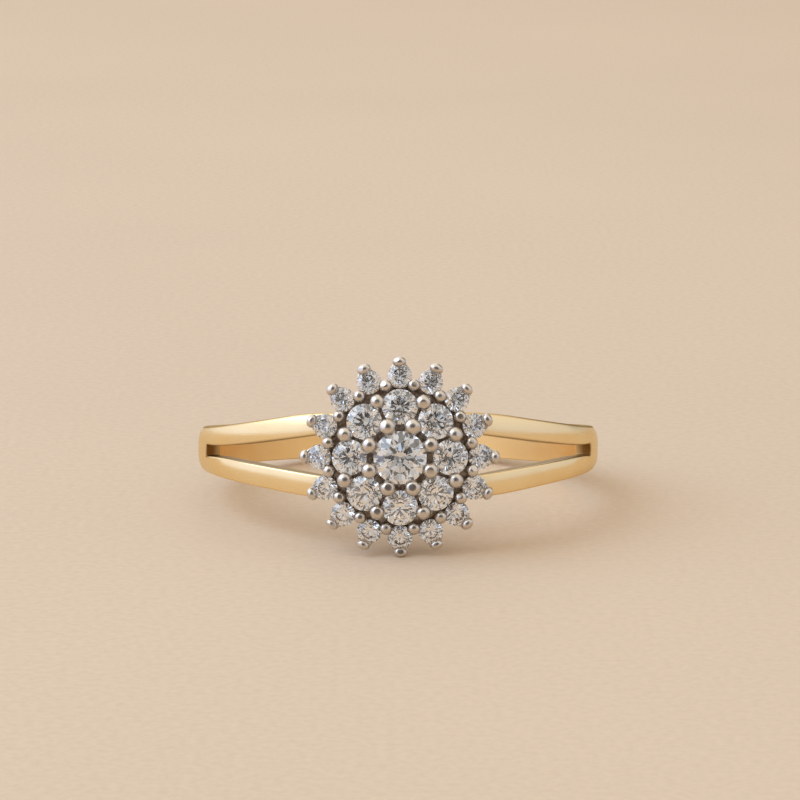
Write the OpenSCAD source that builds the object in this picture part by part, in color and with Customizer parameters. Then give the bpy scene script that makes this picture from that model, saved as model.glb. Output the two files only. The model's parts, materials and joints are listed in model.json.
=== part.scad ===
// Cluster ring: a split gold shank that carries a white metal starburst head of
// twenty-five round brilliants. It lies on its side, as it rests on a table, with
// the head to the front (-Y) and the finger hole close to upright. The origin is
// on the table, under the middle of the ring.

/* [Shank] */
// Inside diameter of the band
finger_d = 17.8; // [17.4:0.1:18.2]
// Wall thickness at the left and right of the band
side_wall = 0.9; // [0.8:0.05:1]
// Extra wall under the head, which is taken off the back
wall_shift = 0.12; // [0:0.02:0.2]
// Band width at the back
back_w = 1.6; // [1.4:0.05:1.8]
// Band width at the left and right
side_w = 2.06; // [1.9:0.02:2.2]
// Full width over both rails under the head
shoulder_w = 4.3; // [4:0.05:4.6]
// Growth of the half width for each unit of 1 - sine of the angle from the front
flare = 1.65; // [1.4:0.05:1.8]
// Angle from the front at which the slot between the rails ends
slot_angle = 70; // [67:1:74]
// Slot width at that end
slot_end_w = 0.54; // [0.5:0.02:0.6]
// Width that the slot's straight sides would taper to at the end if it weren't blunt
slot_tip_w = 0.33; // [0.25:0.01:0.4]
// Slot width under the head
slot_head_w = 2.1; // [1.9:0.05:2.15]
// Growth of the slot's half width for each unit of sine
slot_flare = 1.43; // [1.31:0.02:1.47]

/* [Stones] */
// Diameter of the centre stone
centre_d = 2.44; // [2.4:0.02:2.5]
// Height of its girdle from the middle of the finger hole
centre_z = 12; // [11.9:0.05:12.1]
// Diameter of the eight medium stones
medium_d = 1.65; // [1.5:0.05:1.7]
// Radius of their circle
medium_r = 2.33; // [2.3:0.01:2.36]
// Height of their girdles
medium_z = 11.57; // [11.5:0.01:11.64]
// Outward lean of the medium stones
medium_tilt = 12; // [8:1:14]
// Diameter of the sixteen small stones
small_d = 1.15; // [1:0.05:1.2]
// Radius of their circle
small_r = 3.72; // [3.7:0.01:3.76]
// Height of their girdles
small_z = 11.05; // [11:0.01:11.1]
// Outward lean of the small stones
small_tilt = 20; // [16:1:24]
// Table width as a share of the stone's width
table_share = 0.57; // [0.53:0.01:0.6]
// Slope of the crown's main facets
crown_angle = 34.5; // [32:0.5:36]
// Slope of the pavilion's main facets
pavilion_angle = 40.8; // [40:0.2:41.6]
// Girdle thickness as a share of the stone's width
girdle_share = 0.03; // [0.02:0.005:0.04]
// How far the star facets reach from the table to the girdle
star_share = 0.55; // [0.5:0.01:0.6]
// How far the lower halves reach from the girdle to the point
lower_share = 0.78; // [0.75:0.01:0.82]

/* [Head] */
// Bead radius of the eight prongs round the centre stone
inner_bead = 0.37; // [0.34:0.01:0.38]
// Bead radius of the eight prongs between the medium stones
middle_bead = 0.34; // [0.32:0.01:0.35]
// Bead radius of the sixteen prongs between the small stones
notch_bead = 0.285; // [0.27:0.005:0.29]
// Bead radius of the sixteen prongs at the points of the star
tip_bead = 0.27; // [0.25:0.01:0.28]
// Space between a stone and the metal
seat_gap = 0.03; // [0.02:0.005:0.04]
// Radius of the cup under a small stone, at its upper edge
cup_r = 0.6; // [0.58:0.01:0.62]
// Radius of that cup at its lower edge
cup_foot_r = 0.3; // [0.28:0.01:0.34]
// Height of that cup
cup_h = 0.58; // [0.54:0.01:0.6]
// Space between the head's foot and the rails
foot_gap = 0.02; // [0.01:0.01:0.05]
// Radius of the domed plate between the stones
plate_r = 3.45; // [3.4:0.05:3.5]
// Height of the plate's middle from the middle of the finger hole
plate_z = 11.27; // [11.2:0.01:11.3]
// How far the plate falls from its middle to its rim
plate_fall = 0.47; // [0.4:0.01:0.5]
// Thickness of the plate
plate_wall = 0.4; // [0.35:0.01:0.45]
// Outside radius of the head's foot
foot_r = 3.25; // [3.1:0.05:3.3]
// Wall of the head's foot
foot_wall = 0.8; // [0.7:0.05:0.9]
// Height of the foot's upper edge from the middle of the finger hole
foot_z = 10.22; // [10.18:0.02:10.3]

/* [Hidden] */

$fn = 48;
gold = "#e2bd7a";
white_metal = "#c9c7c2";
crystal = "#e9eef5";

bore_r = finger_d / 2;
outer_r = bore_r + side_wall;
reach = outer_r + 3;

// Each prong row: count, first angle, circle radius, height, lean, bead radius,
// post radius, post length
ROW_COUNT = 0;
ROW_START = 1;
ROW_R = 2;
ROW_Z = 3;
ROW_TILT = 4;
ROW_BEAD = 5;
ROW_POST = 6;
ROW_LENGTH = 7;
inner_row = [8, 22.5, 1.52, centre_z + 0.05, 0, inner_bead, 0.27, 1.2];
middle_row = [8, 22.5, 2.74, medium_z + 0.02, 6, middle_bead, 0.24, 1.8];
notch_row = [16, 11.25, 3.35, small_z + 0.22, 14, notch_bead, 0.19, 0.8];
tip_row = [16, 0, 4.36, small_z - 0.02, small_tilt, tip_bead, 0.19, 0.85];

// The ring rests on the lowest star point and on the back edge of the band, so the
// front is raised by the angle at which those two touch the table together
back_y = outer_r - wall_shift;
rest_run = back_y + tip_row[ROW_Z];
rest_drop = tip_row[ROW_R] - back_w / 2;
rest_tilt = atan(rest_drop / rest_run) + asin(tip_bead / norm([rest_run, rest_drop]));
rest_z = back_y * sin(rest_tilt) + back_w / 2 * cos(rest_tilt);
front_drop = inner_row[ROW_R] * cos(inner_row[ROW_START]);
front_y = inner_row[ROW_Z] * cos(rest_tilt) + front_drop * sin(rest_tilt) + inner_bead;
rest_y = (front_y - back_y) / 2;

// The side cuts run straight along a line at this angle from the front, close to
// radial all along a rail. The band has its side width from the second angle on.
cut_angle = 60;
flat_angle = 84;

// The side cuts start this much nearer the front than they first meet the band, so
// that they run into its flat sides at an angle
trim_lead = 4;

// The back's curved cut ends this far short of the bore's widest point
back_clear = 0.1;

// The round walls start and end here, near the back and clear of every cut
seam_angle = 80;

// Half width of the band's curved edge and of the slot, at an angle from the front
function band_half(a) = side_w / 2 + flare * (1 - sin(a));
function slot_taper(a) = slot_tip_w / 2 + slot_flare * (sin(slot_angle) - sin(a));
function slot_half(a) = min(slot_head_w / 2, max(slot_end_w / 2, slot_taper(a)));

// Stands the ring on the table, from the frame whose axis is the finger hole
module stand() {
    translate([0, rest_y, rest_z]) rotate([-rest_tilt, 0, 0]) children();
}

// The head's frame: +Z out of the head's face, +Y to its top, 0 at the hole's middle
module head_frame() {
    stand() rotate([90, 0, 0]) children();
}

// A place on the head's face, counted clockwise from the top, leaning outward
module on_circle(angle, radius, height, lean) {
    rotate([0, 0, -angle]) translate([0, radius, height]) rotate([-lean, 0, 0]) children();
}

// Where the cut's line crosses the band's outer face, at an angle from the front
function across(a) = outer_r * sin(a - cut_angle);

// A prism cut through the right of the band's front, from a distance off the hole's
// middle. Its outline has x across the line of the cut and y along the finger hole.
module side_prism(outline, start) {
    rotate([0, 0, cut_angle]) rotate([90, 0, 0])
        translate([0, 0, start]) linear_extrude(reach) polygon(outline);
}

// What is cut off above the right rail, from where the shoulder begins to narrow
module side_trim() {
    first = asin(1 - (shoulder_w - side_w) / 2 / flare) - trim_lead;
    step = (flat_angle - first) / 10;
    edge = [for (i = [0:9]) [across(first + i * step), band_half(first + i * step)]];
    outline = concat(
        edge,
        [[across(flat_angle), side_w / 2], [reach, side_w / 2]],
        [[reach, shoulder_w], [across(first), shoulder_w]]
    );
    intersection() {
        side_prism(outline, 0);
        translate([-reach, -reach, 0]) cube([2 * reach, reach, 2 * shoulder_w]);
    }
}

// The right half of the slot between the rails, with a blunt end that has small
// cut corners
module side_slot() {
    corner = slot_end_w * 0.15;
    upper = concat(
        [[-outer_r, slot_head_w / 2]],
        [for (a = [0:6:slot_angle - 4]) [across(a), slot_half(a)]],
        [[across(slot_angle) - corner, slot_end_w / 2]],
        [[across(slot_angle), slot_end_w / 2 - corner]]
    );
    lower = [for (i = [len(upper) - 1:-1:0]) [upper[i].x, -upper[i].y]];
    side_prism(concat(upper, lower), outer_r / 3);
}

// What is cut off above the back of the band, which narrows to the middle
module back_trim() {
    grow = (side_w - back_w) / 2;
    edge_x = bore_r - back_clear;
    edge = [for (s = [-1:0.125:1]) [s * edge_x, back_w / 2 + grow * s * s]];
    rotate([90, 0, 180]) linear_extrude(reach) polygon(concat(
        [[-reach, side_w / 2]],
        edge,
        [[reach, side_w / 2], [reach, shoulder_w], [-reach, shoulder_w]]
    ));
}

module shank() {
    color(gold) stand() difference() {
        translate([0, -wall_shift, 0]) rotate([0, 0, seam_angle])
            cylinder(r = outer_r, h = shoulder_w, center = true);
        rotate([0, 0, seam_angle]) cylinder(r = bore_r, h = shoulder_w + 2, center = true);
        for (side = [0, 1]) mirror([side, 0, 0]) {
            side_trim();
            mirror([0, 0, 1]) side_trim();
            side_slot();
        }
        back_trim();
        mirror([0, 0, 1]) back_trim();
    }
}

// Measures of a round brilliant of a given width
function crown_h(d) = d / 2 * (1 - table_share) * tan(crown_angle);
function pavilion_h(d) = d / 2 * tan(pavilion_angle);
function girdle_h(d) = d * girdle_share;

// A round brilliant: a table, 8 stars, 8 kites and 16 halves above the girdle, and
// 16 halves and 8 mains below. Star tips and lower tips are placed so that every
// kite and main is flat.
module brilliant(d) {
    r = d / 2;
    g = girdle_h(d) / 2;
    table_r = r * table_share;
    half_step = cos(22.5);
    star_r = table_r * half_step + star_share * (r - table_r * half_step);
    star_z = g + crown_h(d) * (r - star_r * half_step) / (r - table_r);
    low_r = (1 - lower_share) * r;
    low_z = -g - pavilion_h(d) * (1 - low_r * half_step / r);
    function ring(count, first, radius, z) =
        [for (i = [0:count - 1]) let (a = first + i * 360 / count)
            [radius * cos(a), radius * sin(a), z]];
    points = concat(
        ring(8, 0, table_r, g + crown_h(d)),
        ring(8, 22.5, star_r, star_z),
        ring(16, 0, r, g),
        ring(16, 0, r, -g),
        ring(8, 22.5, low_r, low_z),
        [[0, 0, -g - pavilion_h(d)]]
    );
    function table(i) = i % 8;
    function star(i) = 8 + (i + 8) % 8;
    function top(i) = 16 + i % 16;
    function bottom(i) = 32 + i % 16;
    function low(i) = 48 + (i + 8) % 8;
    culet = 56;
    faces = concat(
        [[for (i = [7:-1:0]) table(i)]],
        [for (i = [0:7]) [table(i), table(i + 1), star(i)]],
        [for (i = [0:7]) [table(i), star(i), top(2 * i), star(i - 1)]],
        [for (i = [0:7]) [top(2 * i), star(i), top(2 * i + 1)]],
        [for (i = [0:7]) [top(2 * i + 1), star(i), top(2 * i + 2)]],
        [for (i = [0:15]) [top(i), top(i + 1), bottom(i + 1), bottom(i)]],
        [for (i = [0:7]) [bottom(2 * i), bottom(2 * i + 1), low(i)]],
        [for (i = [0:7]) [bottom(2 * i + 1), bottom(2 * i + 2), low(i)]],
        [for (i = [0:7]) [culet, low(i - 1), bottom(2 * i), low(i)]]
    );
    polyhedron(points, faces);
}

// The room that a stone takes out of the metal, with a hole through to the back
// below its point
module seat(d) {
    r = d / 2 + seat_gap;
    g = girdle_h(d) / 2 + seat_gap / 2;
    hole_r = 0.13 * d;
    hole_z = -0.6 * d;
    crown_top = g + crown_h(d) + seat_gap;
    slope = tan(pavilion_angle);
    rotate_extrude() polygon([
        [0, hole_z], [hole_r, hole_z], [hole_r, -g - (r - hole_r) * slope], [r, -g], [r, g],
        [d / 2 * table_share + seat_gap, crown_top], [0, crown_top]
    ]);
}

module place_centre() {
    translate([0, 0, centre_z]) children();
}

module place_medium(i) {
    on_circle((i - 1) * 45, medium_r, medium_z, medium_tilt) children();
}

module place_small(i) {
    on_circle((i - 1) * 22.5, small_r, small_z, small_tilt) children();
}

module centre_stone() {
    color(crystal) head_frame() place_centre() brilliant(centre_d);
}

module medium_stone(i) {
    color(crystal) head_frame() place_medium(i) brilliant(medium_d);
}

module small_stone(i) {
    color(crystal) head_frame() place_small(i) brilliant(small_d);
}

// A row of prongs, each a leaning post under a round bead
module prongs(row) {
    for (i = [0:row[ROW_COUNT] - 1])
        on_circle(row[ROW_START] + i * 360 / row[ROW_COUNT], row[ROW_R], row[ROW_Z], row[ROW_TILT]) {
            sphere(row[ROW_BEAD]);
            translate([0, 0, -row[ROW_LENGTH]]) cylinder(r = row[ROW_POST], h = row[ROW_LENGTH]);
        }
}

// The domed plate that the stones are let into
module plate() {
    top = [for (s = [1:-0.2:0]) [plate_r * s, plate_z - plate_fall * s * s]];
    bottom = [for (s = [0:0.2:1]) [plate_r * s, plate_z - plate_wall - plate_fall * s * s]];
    rotate_extrude() polygon(concat(bottom, top));
}

// The conical cup under each small stone, seen as a scallop on the head's edge
module cup() {
    top_z = -2 * seat_gap;
    translate([0, 0, top_z - cup_h]) cylinder(r1 = cup_foot_r, r2 = cup_r, h = cup_h);
}

// The foot, a short tube that sits across both rails
module foot() {
    difference() {
        translate([0, 0, bore_r]) cylinder(r = foot_r, h = foot_z - bore_r);
        cylinder(r = foot_r - foot_wall, h = outer_r + foot_z);
    }
}

module setting() {
    color(white_metal) head_frame() difference() {
        union() {
            plate();
            foot();
            for (i = [1:16]) place_small(i) cup();
            prongs(inner_row);
            prongs(middle_row);
            prongs(notch_row);
            prongs(tip_row);
        }
        place_centre() seat(centre_d);
        for (i = [1:8]) place_medium(i) seat(medium_d);
        for (i = [1:16]) place_small(i) seat(small_d);
        translate([0, 0, wall_shift]) rotate([90, 0, 0])
            cylinder(r = outer_r + foot_gap, h = 4 * foot_r, center = true);
    }
}

shank();
setting();
centre_stone();
for (i = [1:8])
    medium_stone(i);
for (i = [1:16])
    small_stone(i);
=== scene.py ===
# %% [markdown]
# # A two-tone cluster ring
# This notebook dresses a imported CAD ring: a pale gold band that splits into two
# rails, and a white metal head with twenty-five round brilliants. The CAD solids
# say where everything is. Blender gives each piece its true surface and finish.

import json
import math

import bpy
import numpy as np
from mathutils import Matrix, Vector


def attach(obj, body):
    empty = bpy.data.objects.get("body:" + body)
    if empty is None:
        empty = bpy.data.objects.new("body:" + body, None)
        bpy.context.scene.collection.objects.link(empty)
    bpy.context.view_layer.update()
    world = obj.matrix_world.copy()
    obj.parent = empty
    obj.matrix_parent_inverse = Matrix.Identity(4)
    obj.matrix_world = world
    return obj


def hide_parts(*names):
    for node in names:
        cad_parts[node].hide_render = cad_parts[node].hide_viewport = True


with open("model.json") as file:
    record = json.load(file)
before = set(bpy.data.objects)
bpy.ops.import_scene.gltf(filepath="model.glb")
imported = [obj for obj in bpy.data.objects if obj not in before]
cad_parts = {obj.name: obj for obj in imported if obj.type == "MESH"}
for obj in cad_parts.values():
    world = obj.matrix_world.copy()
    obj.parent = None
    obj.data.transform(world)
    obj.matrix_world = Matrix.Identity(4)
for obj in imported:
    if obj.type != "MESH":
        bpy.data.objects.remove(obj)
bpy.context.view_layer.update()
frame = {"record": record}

# %% [markdown]
# ## Two handy frames
# The ring lies on its side, raised a little at the front by its head, so nothing in
# it is level. Every piece is worked out in millimetres in the ring's own frame, or
# in the head's, and is then laid on the table. The finger hole in the record says
# where the ring's middle is and which way its axis points.

# %% From the ring and the head to the table
MM = 0.001
hole = frame["record"]["mounts"][0]
ring_middle = np.array(hole["pos_m"])
to_side = np.array([1.0, 0.0, 0.0])
along_finger = np.array(hole["axis"]) / np.linalg.norm(hole["axis"])
to_back = np.cross(along_finger, to_side)


def from_ring(points):
    """Ring millimetres (to the side, to the back, along the finger) to metres on the
    table: the ring's middle plus each measure times its own direction."""
    return ring_middle + MM * points @ np.stack([to_side, to_back, along_finger])


def from_head(points):
    """Head millimetres (right, top, out of the face) to metres on the table. Out of
    the face is away from the ring's back, and top is along the finger."""
    right, top, out = np.moveaxis(points, -1, 0)
    return from_ring(np.stack([right, -out, top], -1))


def on_circle(points, angle, radius, height, lean):
    """A place on the head's face: the points lean outward about their own right-left
    line, move up to the radius and height, and turn clockwise by the angle."""
    a, l = math.radians(angle), math.radians(lean)
    x, y, z = np.moveaxis(points, -1, 0)
    y, z = y * math.cos(l) + z * math.sin(l), z * math.cos(l) - y * math.sin(l)
    y, z = y + radius, z + height
    x, y = x * math.cos(a) + y * math.sin(a), y * math.cos(a) - x * math.sin(a)
    return np.stack([x, y, z], -1)


print("middle of the ring, mm", np.round(ring_middle / MM, 2))

# %% [markdown]
# ## The camera
# The photograph looks at the head from a little above the table with a long lens.
# A camera 180 mm from the ring's middle, with a narrow angle, gives the same size
# and the same slight view down onto the rails. It aims a little above the ring,
# which sets the ring below the picture's middle.

# %% Make the camera
CAMERA_MM = 180.0
CAMERA_RAISE = 12.8
CAMERA_TURN = 0.46
PIXELS_PER_MM = 20.34
FRAME_PX = 800
RING_PX = (398.0, 447.2)

focal_px = CAMERA_MM * PIXELS_PER_MM
up, left = math.radians(CAMERA_RAISE), math.radians(CAMERA_TURN)
toward_camera = np.array([-math.sin(left) * math.cos(up),
                          -math.cos(left) * math.cos(up), math.sin(up)])
camera_right = np.array([math.cos(left), -math.sin(left), 0.0])
camera_up = np.cross(toward_camera, camera_right)
off_x = (FRAME_PX / 2 - RING_PX[0]) / PIXELS_PER_MM
off_y = (RING_PX[1] - FRAME_PX / 2) / PIXELS_PER_MM
camera_place = ring_middle + MM * CAMERA_MM * toward_camera
aim = ring_middle + MM * (off_x * camera_right + off_y * camera_up)

camera_data = bpy.data.cameras.new("camera")
camera = bpy.data.objects.new("camera", camera_data)
bpy.context.scene.collection.objects.link(camera)
camera.location = camera_place
camera.rotation_euler = Vector(aim - camera_place).to_track_quat("-Z", "Y").to_euler()
camera_data.sensor_width = 36.0
camera_data.lens = focal_px * camera_data.sensor_width / FRAME_PX
camera_data.clip_start, camera_data.clip_end = 0.01, 10.0
bpy.context.scene.camera = camera
print("lens, mm", round(camera_data.lens, 1))

# %% [markdown]
# ## Turning arrays into pieces
# Every surface below ends as an array of points and a list of faces. Some are turned
# about an axis. Others are the outside of a block of cells with a few left out, as a
# mason leaves out bricks for a window. These helpers make the Blender object, round
# its edges and find that outside.

# %% Helpers that make a piece
def new_object(name, points, faces, smooth=True):
    """A mesh object at the origin with its place in its points."""
    mesh = bpy.data.meshes.new(name)
    mesh.from_pydata(np.asarray(points).tolist(), [], faces)
    mesh.validate()
    mesh.polygons.foreach_set("use_smooth", np.full(len(mesh.polygons), smooth))
    obj = bpy.data.objects.new(name, mesh)
    bpy.context.scene.collection.objects.link(obj)
    print(name, len(mesh.vertices), "points", len(mesh.polygons), "faces")
    return obj


def add_bevel(obj, width_mm, segments, angle=35.0):
    """Rounds the edges that are sharper than the angle."""
    bevel = obj.modifiers.new("rounded edges", "BEVEL")
    bevel.width = width_mm * MM
    bevel.segments = segments
    bevel.limit_method = "ANGLE"
    bevel.angle_limit = math.radians(angle)


def outside_of(filled):
    """The walls between full and empty cells of a block of cells that closes on
    itself along its first direction, as four corner numbers each. Corners are
    counted through the whole block, and each wall faces the empty side."""
    n, m, k = filled.shape
    here = np.arange(n * (m + 1) * (k + 1)).reshape(n, m + 1, k + 1)
    ahead = np.roll(here, -1, 0)
    pad = np.pad(filled, ((0, 0), (1, 1), (1, 1)))
    walls = [
        (np.roll(filled, 1, 0), filled,
         (here[:, :-1, :-1], here[:, 1:, :-1], here[:, 1:, 1:], here[:, :-1, 1:])),
        (pad[:, :-1, 1:-1], pad[:, 1:, 1:-1],
         (here[:, :, :-1], here[:, :, 1:], ahead[:, :, 1:], ahead[:, :, :-1])),
        (pad[:, 1:-1, :-1], pad[:, 1:-1, 1:],
         (here[:, :-1], ahead[:, :-1], ahead[:, 1:], here[:, 1:])),
    ]
    quads = []
    for low, high, corners in walls:
        wall = np.stack(corners, -1)
        quads += [wall[low & ~high], wall[high & ~low][:, ::-1]]
    return np.concatenate(quads)


def only_used(points, quads):
    """The points that a face uses, the faces numbered again to match, and which of
    the old points those are."""
    used, numbers = np.unique(quads, return_inverse=True)
    return points[used], numbers.reshape(quads.shape), used


# %% [markdown]
# ## The band
# The real band is one bar, rolled and bent round, with a slot pierced through each
# shoulder that leaves two rails. It could be a bent bar with a boolean slot. Here it
# is one block of cells along the band, across it and through its wall, with the
# slot's cells left out, so the rails, the slot's blunt ends and the back are one
# clean skin. The outer face is softly crowned on the rails and well rounded at the
# sides and the back, as wear and comfort ask. The crest of each rail lies close to
# the slot beside the head and moves to the rail's middle by the slot's end. The end
# walls lean outward, as a saw held straight from the front cuts them, and a small
# bevel rounds every edge.

# %% Choose how wide the band and its slot are
BORE_R = 8.9
SIDE_HALF = 1.03
BACK_HALF = 0.80
SHOULDER_HALF = 1.96
FLARE = 1.65
SLOT_ANGLE = 70.0
SLOT_END_HALF = 0.27
SLOT_TIP_HALF = 0.165
SLOT_HEAD_HALF = 1.05
SLOT_FLARE = 1.43
SHOULDER_BLEND, SLOT_HEAD_BLEND, SLOT_END_BLEND = 0.15, 0.10, 0.06
RAIL_CELLS, SLOT_CELLS, WALL_CELLS = 10, 2, 4
FRONT_CELLS, BACK_CELLS = 100, 140


def soft_min(a, b, width):
    """The lesser of two values, with the corner between them rounded off."""
    h = np.clip(0.5 + 0.5 * (b - a) / width, 0.0, 1.0)
    return b + (a - b) * h - width * h * (1.0 - h)


def band_half(angle):
    """Half width of the band: in front it grows with 1 minus the sine of the angle
    from the front up to the shoulder's width, and behind with the sine's square."""
    s = np.sin(np.radians(angle))
    front = SIDE_HALF + FLARE * (1.0 - np.abs(s))
    front = soft_min(front, SHOULDER_HALF, SHOULDER_BLEND)
    back = BACK_HALF + (SIDE_HALF - BACK_HALF) * s * s
    return np.where(np.cos(np.radians(angle)) > 0.0, front, back)


def slot_half(angle):
    """Half width of the slot, which grows toward the head in the same way, but is
    never less than that of its blunt end. Behind the slot's end it is the share of
    the band that the middle cells take."""
    s, s_end = np.abs(np.sin(np.radians(angle))), math.sin(math.radians(SLOT_ANGLE))
    front = SLOT_TIP_HALF + SLOT_FLARE * (s_end - s)
    front = soft_min(front, SLOT_HEAD_HALF, SLOT_HEAD_BLEND)
    front = -soft_min(-front, -SLOT_END_HALF, SLOT_END_BLEND)
    inside = (np.cos(np.radians(angle)) > 0.0) & (s < s_end)
    return np.where(inside, front, SLOT_END_HALF)


print("widths, mm: shoulder", 2 * SHOULDER_HALF, "side", 2 * SIDE_HALF,
      "back", 2 * BACK_HALF)

# %% Lay out the band's cells
front_angles = np.linspace(-SLOT_ANGLE, SLOT_ANGLE, FRONT_CELLS + 1)
back_angles = np.linspace(SLOT_ANGLE, 360.0 - SLOT_ANGLE, BACK_CELLS + 1)[1:-1]
band_angles = np.concatenate([front_angles, back_angles])

half, gap = band_half(band_angles), slot_half(band_angles)
rail_share = np.linspace(0.0, 1.0, RAIL_CELLS + 1)
rail = gap[:, None] + (half - gap)[:, None] * rail_share
slot_steps = gap[:, None] * np.linspace(-1.0, 1.0, SLOT_CELLS + 1)[1:-1]
width = np.concatenate([-rail[:, ::-1], slot_steps, rail], 1)
print("cells", len(band_angles), "round the band and", width.shape[1] - 1, "across it")

# %% An even S between two values
def smoothstep(low, high, value):
    """0 below low, 1 above high, and an even S between them."""
    t = np.clip((value - low) / (high - low), 0.0, 1.0)
    return t * t * (3.0 - 2.0 * t)


# %% Crown the outer face and lean the slot's ends
OUTER_R = 9.8
FRONT_SHIFT = 0.12
RAIL_CROWN, SIDE_CROWN = 0.11, 0.26
RAIL_POWER, SIDE_POWER = 1.75, 3.5
RIDGE_AT_HEAD, RIDGE_AT_END = 0.30, 0.44
SLOT_END_LEAN = 6.5
# From and to which angle from the front each change along the band runs
SPLIT_FADES = 56.0, SLOT_ANGLE + 6.0
SIDE_ROUNDS = 52.0, 84.0
RIDGE_MOVES = 25.0, 60.0
LEAN_GROWS, LEAN_FADES = (45.0, SLOT_ANGLE), (SLOT_ANGLE, 110.0)

from_front = np.degrees(np.arccos(np.cos(np.radians(band_angles))))
split = 1.0 - smoothstep(*SPLIT_FADES, from_front)
side = smoothstep(*SIDE_ROUNDS, from_front)
ridge_moved = smoothstep(*RIDGE_MOVES, from_front)
ridge_share = RIDGE_AT_HEAD + (RIDGE_AT_END - RIDGE_AT_HEAD) * ridge_moved
ridge = split * (gap + ridge_share * (half - gap))
from_ridge = np.abs(np.abs(width) - ridge[:, None]) / (half - ridge)[:, None]
crown = (RAIL_CROWN + (SIDE_CROWN - RAIL_CROWN) * side)[:, None]
crown = crown * from_ridge ** (RAIL_POWER + (SIDE_POWER - RAIL_POWER) * side)[:, None]
radians = np.radians(band_angles)
outer = FRONT_SHIFT * np.cos(radians)
outer = outer + np.sqrt(OUTER_R ** 2 - (FRONT_SHIFT * np.sin(radians)) ** 2)
outer = outer[:, None] - crown
wall_share = np.linspace(0.0, 1.0, WALL_CELLS + 1)
radius = BORE_R + (outer - BORE_R)[:, :, None] * wall_share
near_end = smoothstep(*LEAN_GROWS, from_front)
near_end = near_end * (1.0 - smoothstep(*LEAN_FADES, from_front))
lean = np.radians(SLOT_END_LEAN) * near_end * np.sign(np.sin(radians))
turn = radians[:, None, None] + lean[:, None, None] * (1.0 - wall_share)
print("wall, mm", np.round([(outer - BORE_R).min(), (outer - BORE_R).max()], 2))

# %% Skin the band
EDGE_ROUND = 0.06

band_points = np.stack(np.broadcast_arrays(
    radius * np.sin(turn), -radius * np.cos(turn), width[:, :, None],
), -1).reshape(-1, 3)

filled = np.ones((len(band_angles), width.shape[1] - 1, WALL_CELLS), bool)
filled[:FRONT_CELLS, RAIL_CELLS:RAIL_CELLS + SLOT_CELLS] = False
band_quads = outside_of(filled)
band_points, band_quads, band_used = only_used(band_points, band_quads)
band = new_object("split_band", from_ring(band_points), band_quads.tolist())
add_bevel(band, EDGE_ROUND, segments=4)

# %% [markdown]
# ## Where shade is painted on the gold
# The slot's walls, and most of all its blunt ends, are painted dark brown, as painted
# shade for the shade that falls there. The upper flat side is painted darker toward its
# outer edge and away from the head, a painted dark reflection that shows as a thin line
# along the top. The flat sides of the band are ground and rougher. Two numbers at each
# point hold this, because both follow the shape, which no noise or position in a
# material knows.

# %% Mark the painted shade and the ground faces
def add_attribute(obj, name, values):
    """A number at each point that a material can read."""
    layer = obj.data.attributes.new(name, "FLOAT", "POINT")
    layer.data.foreach_set("value", np.asarray(values, np.float32))


# Each list goes through the wall, from the bore to the outer face; the slot and upper
# side lists are shares of painted shade
UPPER_SLOT_WALL = [0.4, 0.5, 0.55, 0.55, 0.5]
LOWER_SLOT_WALL = [0.4, 0.5, 0.55, 0.5, 0.05]
SLOT_END_WALL = np.array([0.45, 0.78, 1.0, 1.0, 1.0])
UPPER_SIDE = [0.3, 0.45, 0.6, 0.7, 0.85]
BORE_GROUND_TINT = [0.5, 0.0, 0.0, 0.0, 0.0]
SIDE_GROUND_TINT = 0.8
TOP_LINE_DARKENS = 5.0, 45.0
END_REACH = 4.0
ON_EDGE = 1e-6

above = (width > 0.0)[:, :, None]
in_slot = np.abs(width) <= gap[:, None] + ON_EDGE
in_slot = in_slot & (from_front <= SLOT_ANGLE)[:, None]
at_end = (1.0 - smoothstep(0.0, END_REACH, SLOT_ANGLE - from_front))[:, None, None]
slot_wall = np.where(above, UPPER_SLOT_WALL, LOWER_SLOT_WALL)
# Painted shade: dark brown on the slot's walls, strongest at its blunt ends
shade_share = in_slot[:, :, None] * (slot_wall + (SLOT_END_WALL - slot_wall) * at_end)
on_side = (np.abs(width) >= half[:, None] - ON_EDGE)[:, :, None]
toward_side = smoothstep(*TOP_LINE_DARKENS, from_front)[:, None, None]
# Painted dark reflection: the upper flat side darkens toward its outer edge, away from
# the head
shade_share = np.maximum(shade_share, (on_side & above) * toward_side * UPPER_SIDE)
add_attribute(band, "band_painted_shade", shade_share.ravel()[band_used])
# Ground and painted tint: the flat sides and the bore are rougher and painted a more
# orange gold, and the sides get a dark specular tint, a painted dark reflection
ground_tint_share = np.maximum(SIDE_GROUND_TINT * on_side, BORE_GROUND_TINT)
add_attribute(band, "ground_and_painted_tint", ground_tint_share.ravel()[band_used])
print("darkest_painted_shade", round(float(shade_share.max()), 2), "ground faces", int(on_side.sum()))

# %% [markdown]
# ## Marks that run along the band
# Polishing leaves faint marks that follow the band round, so its material needs to
# know how far along the band a point is. A UV map holds that: millimetres round
# the band, and millimetres across it or through its wall.

# %% Unroll the band
MEAN_R = (BORE_R + OUTER_R) / 2.0
corner_used = band_used[band_quads]
corner_section = corner_used // (width.shape[1] * (WALL_CELLS + 1))
corner_angle = band_angles[corner_section]
corner_angle = np.where(np.ptp(corner_angle, 1)[:, None] > 180.0,
                        corner_angle % 360.0, corner_angle)
corner_x, corner_y, corner_z = np.moveaxis(band_points[band_quads], -1, 0)
corner_across = corner_z + np.hypot(corner_x, corner_y)
round_mm = np.radians(corner_angle) * MEAN_R
uv_layer = band.data.uv_layers.new(name="unrolled")
uv_layer.data.foreach_set("uv", np.stack([round_mm, corner_across], -1).ravel())
print("band", round(float(np.ptp(round_mm)), 1), "mm round")

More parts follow.
